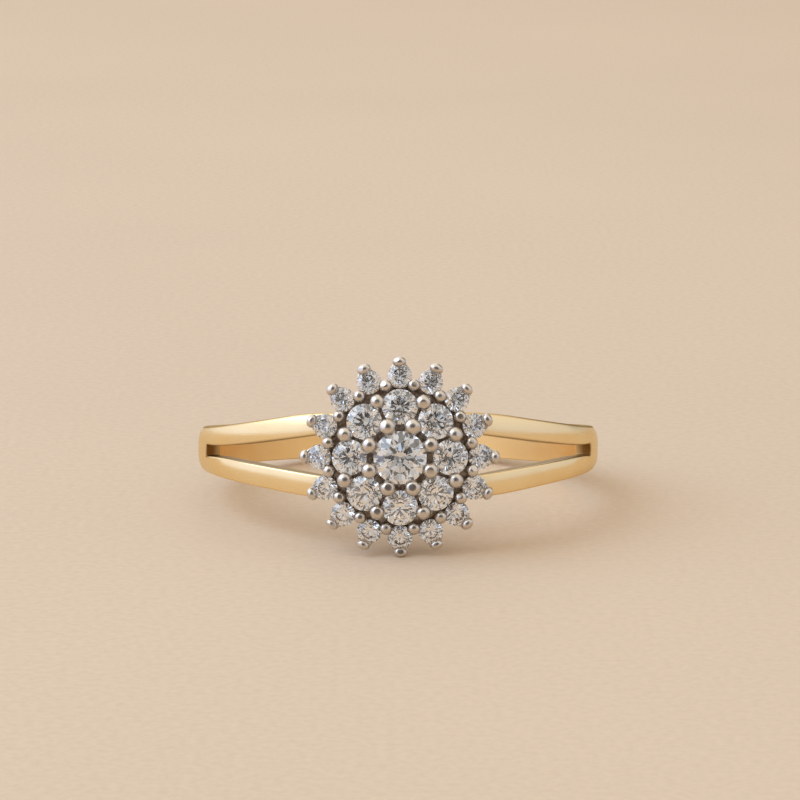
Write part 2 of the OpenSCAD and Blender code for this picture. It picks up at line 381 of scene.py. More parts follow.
# %% [markdown]
# ## The stones
# The head holds twenty-five round brilliants: one in the middle, eight round it and
# sixteen at the points of the star. A brilliant is a fixed recipe of flat facets
# under a table, so it is worked out from its proportions. The crown and pavilion
# planes meet a round girdle here, which gives the scalloped edge of a real stone;
# the CAD stones have a sixteen-sided one.

# %% Cut a round brilliant
TABLE_SHARE = 0.57
CROWN_ANGLE = 34.5
PAVILION_ANGLE = 40.8
GIRDLE_SHARE = 0.03
STAR_SHARE = 0.55
LOWER_SHARE = 0.78
EIGHTH, SIXTEENTH = 45.0, 22.5
ARCS = 5


def polar(radius, degrees, height):
    """Points at a radius, an angle and a height, one row for each angle."""
    a = np.radians(np.asarray(degrees, float))
    return np.stack([radius * np.cos(a), radius * np.sin(a), height + 0.0 * a], 1)


def brilliant(diameter):
    """A brilliant's points and faces. Each half facet is the plane through two
    girdle corners 22.5 degrees apart and its star or lower tip, and the girdle's
    edge at any angle is where the round side meets that plane: the height at the
    corners, less the slope times how far the circle bulges past their chord."""
    r, g = diameter / 2, diameter * GIRDLE_SHARE / 2
    rise = math.tan(math.radians(CROWN_ANGLE))
    drop = math.tan(math.radians(PAVILION_ANGLE))
    table_r, cos_half = r * TABLE_SHARE, math.cos(math.radians(SIXTEENTH))
    star_r = table_r * cos_half + STAR_SHARE * (r - table_r * cos_half)
    star_z = g + rise * (r - star_r * cos_half)
    low_r = (1 - LOWER_SHARE) * r
    low_z = -g - drop * (r - low_r * cos_half)
    steps = np.arange(16 * ARCS) * SIXTEENTH / ARCS
    folded = np.abs(steps - EIGHTH * np.round(steps / EIGHTH)) - SIXTEENTH / 2
    cos_mid = math.cos(math.radians(SIXTEENTH / 2))
    bulge = r * (np.cos(np.radians(folded)) - cos_mid)
    upper = g - (star_z - g) * bulge / ((r - star_r) * cos_mid)
    lower = -g - (low_z + g) * bulge / ((r - low_r) * cos_mid)
    eighths = np.arange(8) * EIGHTH
    points = np.concatenate([
        polar(table_r, eighths, g + rise * (r - table_r)),
        polar(star_r, eighths + SIXTEENTH, star_z),
        polar(low_r, eighths + SIXTEENTH, low_z),
        [[0.0, 0.0, -g - drop * r]],
        polar(r, steps, upper),
        polar(r, steps, lower),
    ])
    return points, brilliant_faces()


def brilliant_faces():
    """The facets as lists of point numbers, each seen from outside the stone."""
    rim = 16 * ARCS
    table, star, low, culet = 0, 8, 16, 24
    top, bottom = 25, 25 + rim
    faces = [[table + i for i in range(8)]]
    for i in range(8):
        after, before = (i + 1) % 8, (i + 7) % 8
        main = 2 * i * ARCS
        faces.append([table + i, star + i, table + after])
        faces.append([table + i, star + before, top + main, star + i])
        faces.append([culet, low + i, bottom + main, low + before])
        for start in (main, main + ARCS):
            arc = [(start + j) % rim for j in range(ARCS + 1)]
            faces.append([star + i] + [top + j for j in arc])
            faces.append([low + i] + [bottom + j for j in reversed(arc)])
    for j in range(rim):
        beside = (j + 1) % rim
        faces.append([top + j, bottom + j, bottom + beside, top + beside])
    return faces


# %% Where the stones sit
SEED = 25
ROCK_DEGREES = 1.3
STONE_ROWS = {
    "centre_stone": dict(count=1, diameter=2.44, radius=0.0, height=12.0, lean=0.0,
                         spin=0.0),
    "medium_stone": dict(count=8, diameter=1.65, radius=2.33, height=11.57, lean=12.0),
    "small_stone": dict(count=16, diameter=1.15, radius=3.72, height=11.05, lean=20.0),
}

# The middle stone draws a spin as well, so that the others' draws don't depend on it
rng = np.random.default_rng(SEED)
stones = []
for row_name, row in STONE_ROWS.items():
    for i in range(row["count"]):
        name = row_name if row["count"] == 1 else f"{row_name}_{i + 1}"
        stones.append(dict(
            name=name, diameter=row["diameter"], angle=360.0 * i / row["count"],
            radius=row["radius"], height=row["height"], lean=row["lean"],
            spin=row.get("spin", float(rng.uniform(0.0, EIGHTH))),
            rock=rng.normal(0.0, ROCK_DEGREES, 2),
        ))
print("stones", len(stones))

# %% [markdown]
# ## Prongs that grip the stones
# Beads of metal are pushed over the edges of the stones, so no bead cuts into a
# stone: it lies on the crown. Each bead starts as a ball on a post, and any point
# that would be inside a stone is moved straight out to the stone's nearest face. The
# outer claws are wider than they are deep. A value at each point says where shade is
# painted: between the stones, down the posts and where a bead lies close to a stone.

# %% Keep metal out of the stones
CLEARANCE = 0.012
DEEPEST_MOVED = 0.6
FAR, TINY = 9.0, 1e-9


def into_stone(points, stone):
    """Head points in a stone's own frame, its table up: the place on the circle
    undone, first the turn, then the move, then the lean."""
    a, l = math.radians(stone["angle"]), math.radians(stone["lean"])
    x, y, z = np.moveaxis(points, -1, 0)
    x, y = x * math.cos(a) - y * math.sin(a), x * math.sin(a) + y * math.cos(a)
    y, z = y - stone["radius"], z - stone["height"]
    y, z = y * math.cos(l) - z * math.sin(l), y * math.sin(l) + z * math.cos(l)
    return np.stack([x, y, z], -1)


def out_of_stone(points, stone):
    """The way back: points of a stone's own frame in their place on the head."""
    return on_circle(points, stone["angle"], stone["radius"], stone["height"],
                     stone["lean"])


def clear_of_stones(points):
    """The points moved out of every stone, and how far each is from the nearest. A
    stone is taken as crown and pavilion cones round a girdle under a flat table.
    The distance is the greatest of the four, and the move follows that one. A point
    that is deeper than a share of the stone's radius isn't moved."""
    crown, pavilion = math.radians(CROWN_ANGLE), math.radians(PAVILION_ANGLE)
    normals = np.array([[math.sin(crown), math.cos(crown)], [1.0, 0.0],
                        [math.sin(pavilion), -math.cos(pavilion)], [0.0, 1.0]])
    nearest = np.full(points.shape[:-1], FAR)
    for stone in stones:
        local = into_stone(points, stone)
        r, g = stone["diameter"] / 2, stone["diameter"] * GIRDLE_SHARE / 2
        table_z = g + r * (1 - TABLE_SHARE) * math.tan(crown)
        rho, z = np.hypot(local[..., 0], local[..., 1]), local[..., 2]
        gaps = np.stack([
            (rho - r) * normals[0, 0] + (z - g) * normals[0, 1],
            rho - r,
            (rho - r) * normals[2, 0] + (z + g) * normals[2, 1],
            z - table_z,
        ], -1)
        gap, wall = gaps.max(-1), gaps.argmax(-1)
        push = np.clip(CLEARANCE - gap, 0.0, None)
        push = np.where(gap > CLEARANCE - DEEPEST_MOVED * r, push, 0.0)
        grown = (rho + push * normals[wall, 0]) / np.maximum(rho, TINY)
        local[..., 0] *= grown
        local[..., 1] *= grown
        local[..., 2] += push * normals[wall, 1]
        points = out_of_stone(local, stone)
        nearest = np.minimum(nearest, np.maximum(gap, CLEARANCE))
    return points, nearest


# %% Where shade is painted between the stones
PLATE_R = 3.45
PLATE_Z = 11.27
PLATE_FALL = 0.47
ABOVE_PLATE = -0.25, -0.05
INSIDE_STAR = 3.5, 4.0
TRACE = 0.12


def painted_shade_between_stones(points):
    """Painted shade: 1 between the stones, which is above the plate's dome and inside
    the circle of the outer stones, and only a trace on the head's outer sides and
    behind it."""
    rho, height = np.hypot(points[:, 0], points[:, 1]), points[:, 2]
    over_plate = height - PLATE_Z + PLATE_FALL * (rho / PLATE_R) ** 2
    above = smoothstep(*ABOVE_PLATE, over_plate)
    inside = above * (1.0 - smoothstep(*INSIDE_STAR, rho))
    return TRACE + (1.0 - TRACE) * inside


# %% Turn a prong
PRONG_SEGMENTS = 28
BALL_ARC = 6.0, 118.0
BALL_RINGS, NECK_RINGS = 15, 5
NECK_END = 1.05
POST_SPREAD = 0.12
POLE_RISE = 0.06


def prong_profile(bead, post, length):
    """Radius and height down a prong: the circle of a ball to a little past its
    widest, an even neck, and a post that spreads a little at its foot."""
    t = np.radians(np.linspace(*BALL_ARC, BALL_RINGS))
    ball_r, ball_z = bead * np.sin(t), bead * np.cos(t)
    down = np.linspace(0.0, 1.0, NECK_RINGS + 1)[1:]
    neck_r = ball_r[-1] + (post - ball_r[-1]) * smoothstep(0.0, 1.0, down)
    neck_z = np.linspace(ball_z[-1], -bead * NECK_END, NECK_RINGS + 1)[1:]
    post_r = post * (1.0 + POST_SPREAD * down ** 2)
    post_z = neck_z[-1] + (-length - neck_z[-1]) * down
    return (np.concatenate([ball_r, neck_r, post_r]),
            np.concatenate([ball_z, neck_z, post_z]))


def turned_points(radius, height, segments):
    """A profile turned about its axis, between a pole at the top and at the foot."""
    a = np.linspace(0.0, 2.0 * math.pi, segments, endpoint=False)
    skin = np.stack([np.outer(radius, np.cos(a)), np.outer(radius, np.sin(a)),
                     np.outer(height, np.ones(segments))], -1).reshape(-1, 3)
    top = height[0] + radius[0] * POLE_RISE
    return np.concatenate([[[0, 0, top]], skin, [[0, 0, height[-1]]]])


def turned_faces(rings, segments, start):
    """The faces of that surface, with its points counted from start: a fan, bands
    of quads and a fan."""
    ring = start + 1 + np.arange(rings * segments).reshape(rings, segments)
    beside = np.roll(ring, -1, 1)
    last = start + 1 + rings * segments
    sides = np.stack([ring[:-1], ring[1:], beside[1:], beside[:-1]], -1)
    cap = [[start, a, b] for a, b in zip(ring[0].tolist(), beside[0].tolist())]
    foot = [[last, b, a] for a, b in zip(ring[-1].tolist(), beside[-1].tolist())]
    return cap + sides.reshape(-1, 4).tolist() + foot


# %% Wear a bead
PATCH_LOW = 0.25
PATCH_AT = 0.86, 0.97
PATCH_PRESSED = 0.8
OVAL_GROWS = -1.3, -0.7
SIZE_SPREAD, ROUND_SPREAD, PLACE_SPREAD = 0.02, 0.012, 0.012


def worn_ball(points, bead, mark, oval):
    """A prong's head as the setter leaves it: oval or a little off round, and pressed
    flat over a small patch, where the distance along the patch's line is cut short."""
    head = points[:, 2] > -bead
    aim = np.array([rng.normal(0, mark), rng.normal(-PATCH_LOW * mark, mark), 1.0])
    aim /= np.linalg.norm(aim)
    limit = bead * rng.uniform(*PATCH_AT)
    over = np.where(head, np.clip(points @ aim - limit, 0.0, None), 0.0)
    points = points - PATCH_PRESSED * over[:, None] * aim
    size = 1.0 + rng.normal(0.0, SIZE_SPREAD)
    wide = 1.0 + (np.array(oval) - 1.0) * smoothstep(*OVAL_GROWS, points[:, 2:] / bead)
    points[:, :2] *= size * wide * (1.0 + rng.normal(0.0, ROUND_SPREAD, 2))
    return points


# %% Raise the rows of prongs
# mark is how far a pressed patch strays from a bead's top, and near is how far from
# a stone, in millimetres, a bead still gets painted shade
PRONG_ROWS = {
    "inner_beads": dict(count=8, start=22.5, radius=1.52, height=12.05, lean=0.0,
                        bead=0.395, post=0.27, length=1.2, mark=0.30, near=0.03),
    "middle_beads": dict(count=8, start=22.5, radius=2.74, height=11.59, lean=6.0,
                         bead=0.37, post=0.24, length=1.8, mark=0.30, near=0.03),
    "notch_beads": dict(count=16, start=11.25, radius=3.35, height=11.27, lean=14.0,
                        bead=0.305, post=0.19, length=0.8, mark=0.30, near=0.03),
    "tip_claws": dict(count=16, start=0.0, radius=4.39, height=11.03, lean=20.0,
                      bead=0.27, post=0.19, length=0.85, mark=0.55, near=0.08,
                      oval=(1.16, 0.89)),
}
ROUND = (1.0, 1.0)
POST_SHADED = -1.0, -0.35
BEAD_STARTS = -0.7, -0.3
TIGHT_SHADE = 0.75


def prong_row(name, row):
    """One object with a row of prongs. Each takes its place on its circle with a
    small seeded error, and is then cleared of the stones."""
    radius, height = prong_profile(row["bead"], row["post"], row["length"])
    basic = turned_points(radius, height, PRONG_SEGMENTS)
    points, faces, low = [], [], []
    for i in range(row["count"]):
        one = worn_ball(basic, row["bead"], row["mark"], row.get("oval", ROUND))
        low.append(one[:, 2] / row["bead"])
        one[:, :2] += rng.normal(0.0, PLACE_SPREAD, 2)
        angle = row["start"] + 360.0 * i / row["count"]
        points.append(on_circle(one, angle, row["radius"], row["height"], row["lean"]))
        faces += turned_faces(len(radius), PRONG_SEGMENTS, i * len(basic))
    points, apart = clear_of_stones(np.concatenate(points))
    obj = new_object(name, from_head(points), faces)
    low = np.concatenate(low)
    # Painted shade: darker down the posts and between the stones, and where a bead lies
    # close against a stone
    deep = (1.0 - smoothstep(*POST_SHADED, low)) * painted_shade_between_stones(points)
    tight = 1.0 - smoothstep(CLEARANCE, row["near"], apart)
    tight = tight * smoothstep(*BEAD_STARTS, low)
    add_attribute(obj, "painted_recess_shade", np.maximum(deep, TIGHT_SHADE * tight))
    return obj


prong_rows = [prong_row(name, row) for name, row in PRONG_ROWS.items()]
print("prongs", sum(row["count"] for row in PRONG_ROWS.values()))

# %% [markdown]
# ## The plate, the cups and the foot
# Behind the stones a domed plate is pierced under each of the inner nine, and small
# conical cups carry the outer sixteen, each drawn out to a point under its claw,
# which gives the head its star. A short tube, cut to fit the round of the band, is
# the head's foot. The plate's holes could be booleans; here square blocks of cells
# are left out, and the cells round them are bent until each hole is round.

# %% Shape the pierced plate
PLATE_WALL = 0.40
CENTRE_HOLE_R = 0.46
SIDE_HOLES = 8
SIDE_HOLE_AT = 2.22
SIDE_HOLE_R = 0.28
PLATE_TURNS, PLATE_LAYERS = 128, 3
PLATE_CELL = 0.13
# How many cells a side hole reaches from its middle, round the plate and outward
HOLE_ROUND, HOLE_OUT = 3, 2
PLATE_EDGE, SHARP_EDGE = 0.04, 50.0


def pierced_plate():
    """A dome, whose height falls with the square of the share of the radius. A corner
    near a hole keeps its direction from the hole's middle, and its distance becomes
    the longer of its two offsets, so squares turn round."""
    out = np.arange(CENTRE_HOLE_R, PLATE_R + PLATE_CELL / 2, PLATE_CELL)
    ring = np.radians(360.0 / PLATE_TURNS) * np.arange(PLATE_TURNS)
    cell = int(np.argmin(np.abs(out - SIDE_HOLE_AT)))
    filled = np.ones((PLATE_TURNS, len(out) - 1, PLATE_LAYERS), bool)
    from_hole = (np.arange(PLATE_TURNS) + HOLE_ROUND) % (PLATE_TURNS // SIDE_HOLES)
    filled[from_hole < 2 * HOLE_ROUND, cell - HOLE_OUT:cell + HOLE_OUT] = False
    angle, rho = np.meshgrid(ring, out * PLATE_R / out[-1], indexing="ij")
    hole_at, half_turn = rho[0, cell], math.pi / SIDE_HOLES
    near = (angle + half_turn) % (2 * half_turn) - half_turn
    side, up = near * hole_at, rho - hole_at
    side_half = HOLE_ROUND * 2 * math.pi / PLATE_TURNS * hole_at
    up_half = rho[0, cell + HOLE_OUT] - hole_at
    long = np.maximum(np.abs(side) / side_half, np.abs(up) / up_half)
    line = np.hypot(side / side_half, up / up_half) + TINY
    bend = 1.0 - smoothstep(1.0, 2.0, long)
    factor = 1.0 + bend * (long / line - 1.0)
    size = SIDE_HOLE_R * 2 / (side_half + up_half)
    shrink = 1.0 + bend * (size - 1.0)
    new_side, new_up = side * factor * shrink, up * factor * shrink
    turn = angle - near + new_side / hole_at
    rho = hole_at + new_up
    top = PLATE_Z - PLATE_FALL * (rho / PLATE_R) ** 2
    height = top[..., None] - PLATE_WALL * np.linspace(1.0, 0.0, PLATE_LAYERS + 1)
    points = np.stack(np.broadcast_arrays(
        (rho * np.sin(turn))[..., None], (rho * np.cos(turn))[..., None], height), -1)
    return only_used(points.reshape(-1, 3), outside_of(filled))[:2]


plate_points, plate_quads = pierced_plate()
plate = new_object("pierced_plate", from_head(plate_points), plate_quads.tolist())
# Painted shade on the plate between the stones
add_attribute(plate, "painted_recess_shade", painted_shade_between_stones(plate_points))
add_bevel(plate, PLATE_EDGE, 2, SHARP_EDGE)

# %% Turn the cups under the outer stones
CUP_SEGMENTS = 40
CUP_PROFILE = np.array([
    (0.575, -0.045), (0.580, -0.075), (0.560, -0.13), (0.505, -0.24), (0.44, -0.36),
    (0.375, -0.47), (0.33, -0.55), (0.315, -0.60), (0.300, -0.635), (0.27, -0.64),
    (0.17, -0.64), (0.15, -0.62), (0.15, -0.50), (0.165, -0.44), (0.35, -0.28),
    (0.53, -0.115), (0.555, -0.07),
])
# The row that ends the outer wall; the inner one comes after it
CUP_UNDERSIDE = 10
CLAW_AT = 0.67
BEAK_HALF = 0.24
BEAK_SHORT = 0.1
BEAK_GROWS = -0.5, -0.1


def cup_row():
    """Sixteen closed rings, each the cup's own outline turned about its axis. The
    outer wall is drawn out toward the claw, as far as the straight lines that touch
    both round the cup and round the claw, and less and less so down the cup."""
    a = np.linspace(0.0, 2.0 * math.pi, CUP_SEGMENTS, endpoint=False)
    rows = np.arange(len(CUP_PROFILE))
    radius, height = CUP_PROFILE[:, :1], CUP_PROFILE[:, 1:]
    touch = math.acos((radius[0, 0] - BEAK_HALF) / CLAW_AT)
    off_claw = np.abs((a - math.pi / 2 + math.pi) % (2.0 * math.pi) - math.pi)
    beak = np.minimum(1.0 / np.cos(np.clip(touch - off_claw, 0.0, None)),
                      (CLAW_AT + BEAK_HALF - BEAK_SHORT) / radius[0, 0])
    drawn_out = (beak - 1.0) * (rows < CUP_UNDERSIDE)[:, None]
    radius = radius * (1.0 + drawn_out * smoothstep(*BEAK_GROWS, height))
    one = np.stack([radius * np.cos(a), radius * np.sin(a),
                    height + 0.0 * a], -1).reshape(-1, 3)
    ring = np.arange(len(one)).reshape(len(CUP_PROFILE), CUP_SEGMENTS)
    lower, beside = np.roll(ring, -1, 0), np.roll(ring, -1, 1)
    quads = np.stack([ring, lower, np.roll(lower, -1, 1), beside], -1).reshape(-1, 4)
    outer = [stone for stone in stones if stone["name"].startswith("small")]
    points = [out_of_stone(one, stone) for stone in outer]
    faces = [quads + i * len(one) for i in range(len(outer))]
    # Painted shade: full on the cup's inner wall, a trace on its outer wall
    inner_wall = np.repeat(rows > CUP_UNDERSIDE, CUP_SEGMENTS)
    shade = np.tile(np.where(inner_wall, 1.0, TRACE), len(outer))
    return np.concatenate(points), np.concatenate(faces), shade


cup_points, cup_quads, cup_shade = cup_row()
cups = new_object("outer_cups", from_head(cup_points), cup_quads.tolist())
add_attribute(cups, "painted_recess_shade", cup_shade)

# %% Fit the foot to the band
FOOT_R = 3.25
FOOT_WALL = 0.8
FOOT_Z = 10.22
FOOT_GAP = 0.02
FOOT_EDGE = 0.05


def saddle_foot():
    """A tube whose lower edge lies on the round of the band: its height there is the
    square root of the band's radius squared less the side offset squared."""
    turns, across, up = 96, 6, 5
    angle = np.radians(np.arange(turns) * 360.0 / turns)[:, None]
    rho = np.linspace(FOOT_R - FOOT_WALL, FOOT_R, across + 1)[None, :]
    side, top = rho * np.sin(angle), rho * np.cos(angle)
    low = np.sqrt((OUTER_R + FOOT_GAP) ** 2 - side ** 2) + FRONT_SHIFT
    share = np.linspace(0.0, 1.0, up + 1)
    height = low[..., None] + (FOOT_Z - low)[..., None] * share
    points = np.stack(np.broadcast_arrays(side[..., None], top[..., None], height), -1)
    filled = np.ones((turns, across, up), bool)
    return only_used(points.reshape(-1, 3), outside_of(filled))[:2]


foot_points, foot_quads = saddle_foot()
foot = new_object("saddle_foot", from_head(foot_points), foot_quads.tolist())
# Painted shade on the foot: only a trace, as it lies below the plate
add_attribute(foot, "painted_recess_shade", painted_shade_between_stones(foot_points))
add_bevel(foot, FOOT_EDGE, 3, SHARP_EDGE)

# %% [markdown]
# ## The yellow gold
# The band is pale nine carat gold with a soft satin polish: it mirrors, but blurred,
# and faint polishing marks run round it. The marks are noise read from the unrolled
# map, stretched along the band, and they drive a little roughness and relief. Wider
# noise shifts the colour by a trace, as handling does. Where the painted shade value is
# high the gold is painted brown and is rougher, and there and on ground faces its
# specular tint is dark, so it doesn't brighten at a glancing angle: painted shade and a
# painted dark reflection. The bore and the ground sides are painted a more orange gold.

# %% Helpers that wire a material
def new_material(name):
    """An empty node material with its output, and the Principled shader on it."""
    material = bpy.data.materials.new(name)
    material.use_nodes = True
    tree = material.node_tree
    tree.nodes.clear()
    output = tree.nodes.new("ShaderNodeOutputMaterial")
    shader = tree.nodes.new("ShaderNodeBsdfPrincipled")
    tree.links.new(shader.outputs["BSDF"], output.inputs["Surface"])
    return material, tree, shader


def add_node(tree, kind, inputs=None, **settings):
    """A node with its settings, and its inputs set or linked by name or number."""
    made = tree.nodes.new("ShaderNode" + kind)
    for key, value in settings.items():
        setattr(made, key, value)
    for key, value in (inputs or {}).items():
        if isinstance(value, bpy.types.NodeSocket):
            tree.links.new(value, made.inputs[key])
        else:
            made.inputs[key].default_value = value
    return made


def noise_of(tree, vector, scale, detail):
    """Noise from 0 to 1 at a scale, read from a vector in metres or millimetres."""
    return add_node(tree, "TexNoise", {
        "Vector": vector, "Scale": scale, "Detail": detail}).outputs["Fac"]


def ranged(tree, value, low, high, from_low=0.0, from_high=1.0):
    """A value carried from one range to another, and held inside it."""
    return add_node(tree, "MapRange", {
        "Value": value, "From Min": from_low, "From Max": from_high,
        "To Min": low, "To Max": high}).outputs["Result"]


# The places of a Mix node's two colours among its inputs, and of its colour output
MIX_FIRST, MIX_SECOND, MIX_COLOUR = 6, 7, 2


def blended(tree, factor, first, second):
    """A colour between two, as far along as the factor says."""
    mix = add_node(tree, "Mix", {"Factor": factor, MIX_FIRST: first,
                                 MIX_SECOND: second}, data_type="RGBA")
    return mix.outputs[MIX_COLOUR]


def relief(tree, height, strength, distance_mm):
    """A bump node's normal for a height from 0 to 1."""
    return add_node(tree, "Bump", {
        "Height": height, "Strength": strength, "Distance": distance_mm * MM,
    }).outputs["Normal"]


# %% Mix the yellow gold
PALE_GOLD, WARM_GOLD = (0.93, 0.715, 0.385, 1.0), (0.95, 0.755, 0.435, 1.0)
PAINTED_ORANGE_GOLD, PAINTED_SHADE_BROWN = (0.97, 0.67, 0.28, 1.0), (0.28, 0.155, 0.055, 1.0)
BRIGHT_TINT, DARK_REFLECTION_TINT = (0.92, 0.87, 0.74, 1.0), (0.20, 0.17, 0.10, 1.0)
ALONG_BAND = (0.6, 22.0, 1.0)
SATIN = 0.20, 0.28
SHADED_ROUGH, GROUND_ROUGH = 0.2, 0.25

yellow_gold, tree, shader = new_material("satin_yellow_gold")
place = add_node(tree, "TexCoord").outputs["Object"]
unrolled = add_node(tree, "UVMap", uv_map="unrolled").outputs["UV"]
stretched = add_node(tree, "Mapping", {"Vector": unrolled, "Scale": ALONG_BAND})
marks = noise_of(tree, stretched.outputs["Vector"], 1.0, 4.0)
handling = noise_of(tree, place, 420.0, 2.0)
band_painted_shade = add_node(tree, "Attribute", attribute_name="band_painted_shade").outputs["Fac"]
unshaded_gold = blended(tree, ranged(tree, handling, 0.0, 1.0, 0.35, 0.65),
                PALE_GOLD, WARM_GOLD)
ground_and_painted_tint = add_node(tree, "Attribute", attribute_name="ground_and_painted_tint").outputs["Fac"]
# Painted reflection: the bore and the ground sides are painted a more orange gold
unshaded_gold = blended(tree, ranged(tree, ground_and_painted_tint, 0.0, 0.6, 0.0, 0.4), unshaded_gold, PAINTED_ORANGE_GOLD)
# Painted shade: the gold turns dark brown where the band's painted shade value is high
tree.links.new(blended(tree, band_painted_shade, unshaded_gold, PAINTED_SHADE_BROWN),
               shader.inputs["Base Color"])
rough = ranged(tree, marks, *SATIN, 0.3, 0.7)
for rougher in (ranged(tree, band_painted_shade, 0.0, SHADED_ROUGH),
             ranged(tree, ground_and_painted_tint, 0.0, GROUND_ROUGH)):
    rough = add_node(tree, "Math", {0: rough, 1: rougher}, operation="ADD").outputs[0]
tree.links.new(rough, shader.inputs["Roughness"])
tree.links.new(relief(tree, marks, 0.25, 0.004), shader.inputs["Normal"])
# Painted shade and painted dark reflection: the specular tint darkens in the slot and
# on the ground sides
painted_dark_tint = add_node(tree, "Math", {0: band_painted_shade, 1: ranged(tree, ground_and_painted_tint, 0.0, 1.0, 0.5, 1.0)},
                operation="MAXIMUM").outputs[0]
tree.links.new(blended(tree, painted_dark_tint, BRIGHT_TINT, DARK_REFLECTION_TINT),
               shader.inputs["Specular Tint"])
shader.inputs["Metallic"].default_value = 1.0
print(yellow_gold.name, len(tree.nodes), "nodes")

# %% [markdown]
# ## The white metal
# The head is white gold under a bright plating. Between the stones, down the posts and
# where a bead lies close to a stone it is painted dark brown with light specks and is
# rougher: painted shade. A point's painted shade value, worked out with the shapes,
# mixes the bright plating with the painted shade. Soft dents from the setter's tool
# make every bead mirror the room a little differently.

# %% Mix the white metal
DARK_PLATING, LIGHT_PLATING = (0.635, 0.570, 0.495, 1.0), (0.700, 0.645, 0.575, 1.0)
METAL_SHADE_BROWN, METAL_SHADE_SPECK = (0.42, 0.31, 0.23, 1.0), (0.76, 0.67, 0.57, 1.0)
BRIGHT_ROUGH, DULL_ROUGH = 0.30, 0.50

white_metal, tree, shader = new_material("polished_white_metal")
place = add_node(tree, "TexCoord").outputs["Object"]
painted_recess_shade = add_node(tree, "Attribute", attribute_name="painted_recess_shade").outputs["Fac"]
cloudy = noise_of(tree, place, 900.0, 3.0)
fine = noise_of(tree, place, 6000.0, 2.0)
bright = blended(tree, cloudy, DARK_PLATING, LIGHT_PLATING)
shade_speckle = blended(tree, ranged(tree, fine, 0.0, 1.0, 0.42, 0.58), METAL_SHADE_BROWN, METAL_SHADE_SPECK)
# Painted shade: the painted shade value mixes the bright plating with the dark speckled
# shade colour
tree.links.new(blended(tree, ranged(tree, painted_recess_shade, 0.0, 1.0, 0.1, 0.9), bright, shade_speckle),
               shader.inputs["Base Color"])
tree.links.new(ranged(tree, painted_recess_shade, BRIGHT_ROUGH, DULL_ROUGH),
               shader.inputs["Roughness"])
dents = noise_of(tree, place, 5200.0, 1.0)
tree.links.new(relief(tree, dents, 0.5, 0.012), shader.inputs["Normal"])
shader.inputs["Metallic"].default_value = 1.0
print(white_metal.name, len(tree.nodes), "nodes")

# %% [markdown]
# ## The stones' glass
# Cubic zirconia bends light harder than glass, with an index of refraction of 2.16,
# so most light that enters the crown turns round in the pavilion and comes back out
# as sparkle. A trace of handling film leaves some facets less than perfectly sharp.

# %% Mix the zirconia
ZIRCONIA_IOR = 2.16
CLEAR_ROUGH, FILM_ROUGH = 0.0, 0.035

zirconia, tree, shader = new_material("clear_zirconia")
place = add_node(tree, "TexCoord").outputs["Object"]
film = noise_of(tree, place, 1600.0, 3.0)
tree.links.new(ranged(tree, film, CLEAR_ROUGH, FILM_ROUGH, 0.45, 0.75),
               shader.inputs["Roughness"])
shader.inputs["Base Color"].default_value = (0.985, 0.99, 1.0, 1.0)
shader.inputs["Transmission Weight"].default_value = 1.0
shader.inputs["IOR"].default_value = ZIRCONIA_IOR
print(zirconia.name, len(tree.nodes), "nodes")

# %% [markdown]
# ## Each piece in its place
# A setter drops each stone into its seat as it comes, so no two stones of a row show
# their facets at the same angle, and none sits quite level. Each one is cut from the
# same recipe, turned and rocked by its own small angles, and then moved to its seat.
# Every piece gets its finish in a material slot and the body it rides on, and the CAD
# node that it stands for is hidden.

# %% Cut every stone and dress the ring
def turned_about(points, degrees, axis):
    """Points turned about one of the local axes, right-handed."""
    a = math.radians(degrees)
    b, c = [i for i in range(3) if i != axis]
    sign = -1.0 if axis == 1 else 1.0
    out = points.copy()
    out[..., b] = points[..., b] * math.cos(a) - sign * points[..., c] * math.sin(a)
    out[..., c] = points[..., c] * math.cos(a) + sign * points[..., b] * math.sin(a)
    return out


def dress(obj, material, node):
    """Gives a piece its material and body, and hides the CAD node it stands for."""
    obj.data.materials.append(material)
    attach(obj, "root")
    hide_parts(node)


dress(band, yellow_gold, "shank")
for stone in stones:
    cut, facets = brilliant(stone["diameter"])
    cut = turned_about(cut, stone["spin"], 2)
    cut = turned_about(turned_about(cut, stone["rock"][0], 0), stone["rock"][1], 1)
    cut = from_head(out_of_stone(cut, stone))
    gem = new_object("cut_" + stone["name"], cut, facets, smooth=False)
    dress(gem, zirconia, stone["name"])
for metal in [*prong_rows, plate, cups, foot]:
    dress(metal, white_metal, "setting")

# %% [markdown]
# ## The table
# The ring lies on a plain pale surface with a fine matt grain, such as heavy paper.
# A plain grid is enough for it. Wide noise shades it a little, and fine noise makes
# the grain in its colour and its relief.

# %% Lay the floor
FLOOR_HALF = 1.6
FLOOR_POINTS = 9
DARK_PAPER, LIGHT_PAPER = (0.683, 0.564, 0.445, 1.0), (0.717, 0.592, 0.467, 1.0)

floor_steps = np.linspace(-FLOOR_HALF, FLOOR_HALF, FLOOR_POINTS)
floor_x, floor_y = np.meshgrid(floor_steps, floor_steps)
floor_points = np.stack([floor_x, floor_y, 0.0 * floor_x], -1).reshape(-1, 3)
floor_index = np.arange(FLOOR_POINTS ** 2).reshape(FLOOR_POINTS, FLOOR_POINTS)
floor_quads = np.stack([floor_index[:-1, :-1], floor_index[:-1, 1:],
                        floor_index[1:, 1:], floor_index[1:, :-1]], -1).reshape(-1, 4)
floor = new_object("floor", floor_points, floor_quads.tolist())

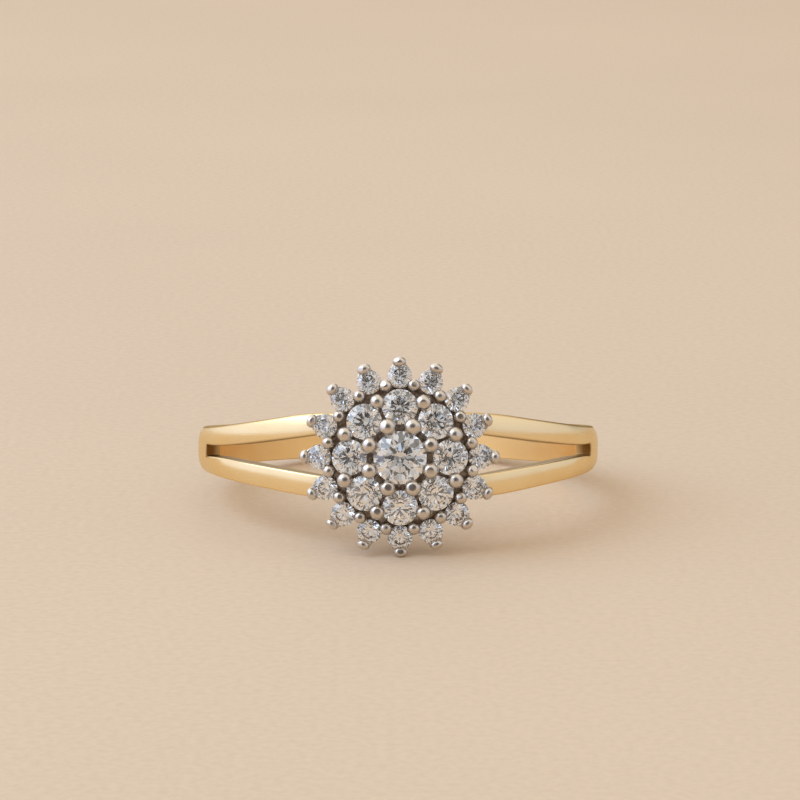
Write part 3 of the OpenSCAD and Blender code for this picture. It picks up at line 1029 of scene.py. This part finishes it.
# %% Mix the pale paper
paper, tree, shader = new_material("pale_matt_surface")
place = add_node(tree, "TexCoord").outputs["Object"]
wide = noise_of(tree, place, 14.0, 3.0)
grain = noise_of(tree, place, 2600.0, 4.0)
tint = blended(tree, ranged(tree, wide, 0.0, 1.0, 0.3, 0.7), DARK_PAPER, LIGHT_PAPER)
speck = ranged(tree, grain, 0.955, 1.03, 0.3, 0.7)
tree.links.new(add_node(tree, "VectorMath", {0: tint, 1: speck},
                        operation="MULTIPLY").outputs[0], shader.inputs["Base Color"])
shader.inputs["Roughness"].default_value = 0.75
shader.inputs["Specular IOR Level"].default_value = 0.3
tree.links.new(relief(tree, grain, 0.25, 0.05), shader.inputs["Normal"])
floor.data.materials.append(paper)
print(paper.name, len(tree.nodes), "nodes")

# %% [markdown]
# ## The light
# The light is a cool soft window above and to the left, and a bright wall behind.
# Both are large, because a large light near a small thing gives soft shadows and
# long smooth highlights, as a photographer's tent does.

# %% Hang the lights
LIT_POINT = Vector((0.0, 0.0, 0.004))


def soft_light(name, place, size, watts, colour):
    """A rectangle of light at a place in metres that faces the ring."""
    data = bpy.data.lights.new(name, "AREA")
    data.shape = "RECTANGLE"
    data.size, data.size_y = size
    data.energy, data.color = watts, colour
    light = bpy.data.objects.new(name, data)
    bpy.context.scene.collection.objects.link(light)
    light.location = place
    toward_ring = LIT_POINT - Vector(place)
    light.rotation_euler = toward_ring.to_track_quat("-Z", "Y").to_euler()
    light.visible_camera = False
    print(name, watts, "W")


soft_light("window", place=(-0.34, -0.06, 0.34), size=(0.50, 0.42), watts=1.02,
           colour=(0.74, 0.97, 1.30))
soft_light("top_wall", place=(-0.12, 0.40, 0.50), size=(0.60, 0.60), watts=0.26,
           colour=(0.96, 0.98, 1.03))

# %% [markdown]
# ## The room
# Polished beads and cut stones only show their shapes when they have something dark
# to mirror, so the end of the room where the camera stands is dark. The room is
# painted once for each kind of ray. Metal mirrors smooth walls, with the dark end in
# front and a dim corner behind on the right. Rays that have been through a stone
# meet scattered lamps, and in front a dark lens with a cool glint in its middle, so
# every facet gets its own shade. The matt floor gathers warm light that other pale
# surfaces round about would throw onto it.

# %% Open the room
world = bpy.data.worlds.new("soft_room")
bpy.context.scene.world = world
world.use_nodes = True
tree = world.node_tree
tree.nodes.clear()
look = add_node(tree, "TexCoord").outputs["Generated"]
path = add_node(tree, "LightPath")
axes = add_node(tree, "SeparateXYZ", {"Vector": look}).outputs


def round_patch(toward, inner, outer):
    """1 inside a circle of directions and 0 outside a wider one, both circles given
    by the angle at their edge."""
    facing = add_node(tree, "VectorMath", {0: look, 1: Vector(toward).normalized()},
                      operation="DOT_PRODUCT").outputs["Value"]
    return add_node(tree, "MapRange", {
        "Value": facing, "From Min": math.cos(math.radians(outer)),
        "From Max": math.cos(math.radians(inner)), "To Min": 0.0, "To Max": 1.0,
    }, interpolation_type="SMOOTHSTEP").outputs["Result"]


# %% Paint the walls that metal mirrors
LEFT_WALL, RIGHT_WALL = (1.02, 1.08, 1.36, 1.0), (0.75, 0.77, 0.90, 1.0)
CEILING = (1.08, 1.00, 0.90, 1.0)
FRONT, BACK_RIGHT = (0.0, -0.94, 0.34), (0.50, 0.65, 0.46)
DARK_END, DIM_CORNER = (0.09, 0.075, 0.062, 1.0), (0.20, 0.19, 0.11, 1.0)

low_wall = blended(tree, ranged(tree, axes["X"], 0.0, 1.0, -0.7, 0.7),
                   LEFT_WALL, RIGHT_WALL)
wall = blended(tree, ranged(tree, axes["Z"], 0.0, 1.0, 0.1, 0.8), low_wall, CEILING)
mirrored = blended(tree, round_patch(FRONT, 28.0, 48.0), wall, DARK_END)
mirrored = blended(tree, round_patch(BACK_RIGHT, 14.0, 32.0), mirrored, DIM_CORNER)
print("walls", len(tree.nodes), "nodes")

# %% Paint what the stones and the floor meet
BLACK, LAMP = (0.0, 0.0, 0.0, 1.0), (0.88, 0.85, 0.82, 1.0)
LENS_RIM, LENS_GLINT = (0.05, 0.045, 0.04, 1.0), (0.66, 0.80, 1.00, 1.0)
FRONT_FILL, BACK_FILL = (1.10, 0.93, 0.73, 1.0), (0.50, 0.45, 0.35, 1.0)

patches = ranged(tree, noise_of(tree, look, 6.5, 1.0), 0.12, 0.80, 0.44, 0.56)
lamps = blended(tree, patches, BLACK, LAMP)
lens = blended(tree, round_patch(FRONT, 6.0, 16.0), lamps, LENS_RIM)
through = blended(tree, round_patch(FRONT, 0.5, 2.4), lens, LENS_GLINT)
fill = blended(tree, ranged(tree, axes["Y"], 0.0, 1.0, -0.8, 0.8),
               FRONT_FILL, BACK_FILL)
room = blended(tree, path.outputs["Is Transmission Ray"], mirrored, through)
room = blended(tree, path.outputs["Is Diffuse Ray"], room, fill)
background = add_node(tree, "Background", {"Color": room, "Strength": 1.0})
output = tree.nodes.new("ShaderNodeOutputWorld")
tree.links.new(background.outputs[0], output.inputs["Surface"])
print(world.name, len(tree.nodes), "nodes")

# %% [markdown]
# ## Bounces and the view
# Light turns round many times inside a stone before it comes out, so it may bounce
# more often than Blender lets it at first. The standard view keeps the pale colours
# as they were mixed.

# %% Tell Cycles how light travels
scene = bpy.context.scene
scene.view_settings.view_transform = "Standard"
scene.cycles.max_bounces = 18
scene.cycles.glossy_bounces = 12
scene.cycles.transmission_bounces = 16
scene.cycles.diffuse_bounces = 4
print("view", scene.view_settings.view_transform)
